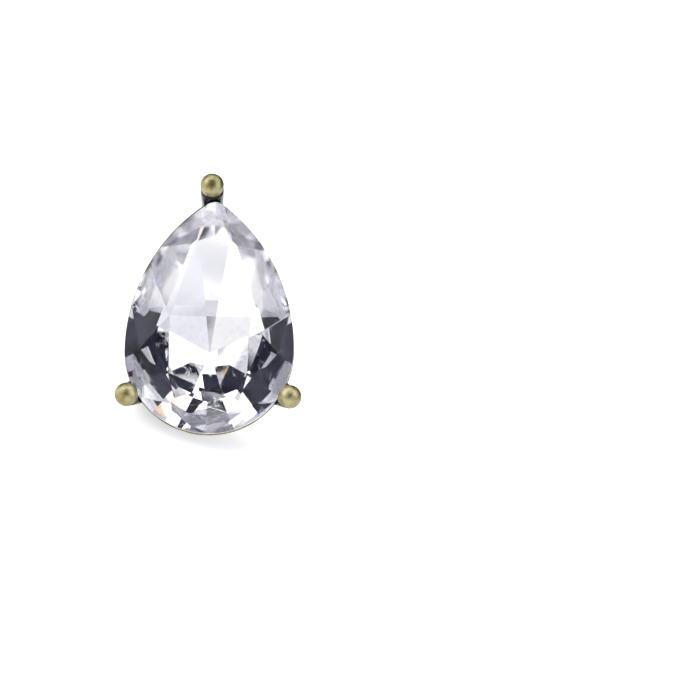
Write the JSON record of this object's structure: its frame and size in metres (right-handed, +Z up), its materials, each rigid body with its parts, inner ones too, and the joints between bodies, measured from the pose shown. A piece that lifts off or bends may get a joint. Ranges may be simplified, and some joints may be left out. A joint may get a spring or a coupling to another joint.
{
  "type": "stud earring",
  "caption": "Pear-cut crystal stud earring in a closed antique brass cup with ball-tipped prongs and a plain ear post.",
  "frame": {"origin": "middle of the footprint, on the surface that the stud rests on", "axes": "+Z up; the face looks towards -Y and upwards, the ear post points back towards +Y and down, and the point of the pear is up and to the left"},
  "size_m": [0.0152, 0.0196, 0.0181],
  "materials": {
    "crystal": "clear polished faceted crystal with a silvered foil back",
    "antique_brass": "antique brass, near-black patina rubbed to pale gold on the ball tips"
  },
  "bodies": {
    "root": {"crystal": "crystal", "setting": "antique_brass"}
  },
  "joints": []
}
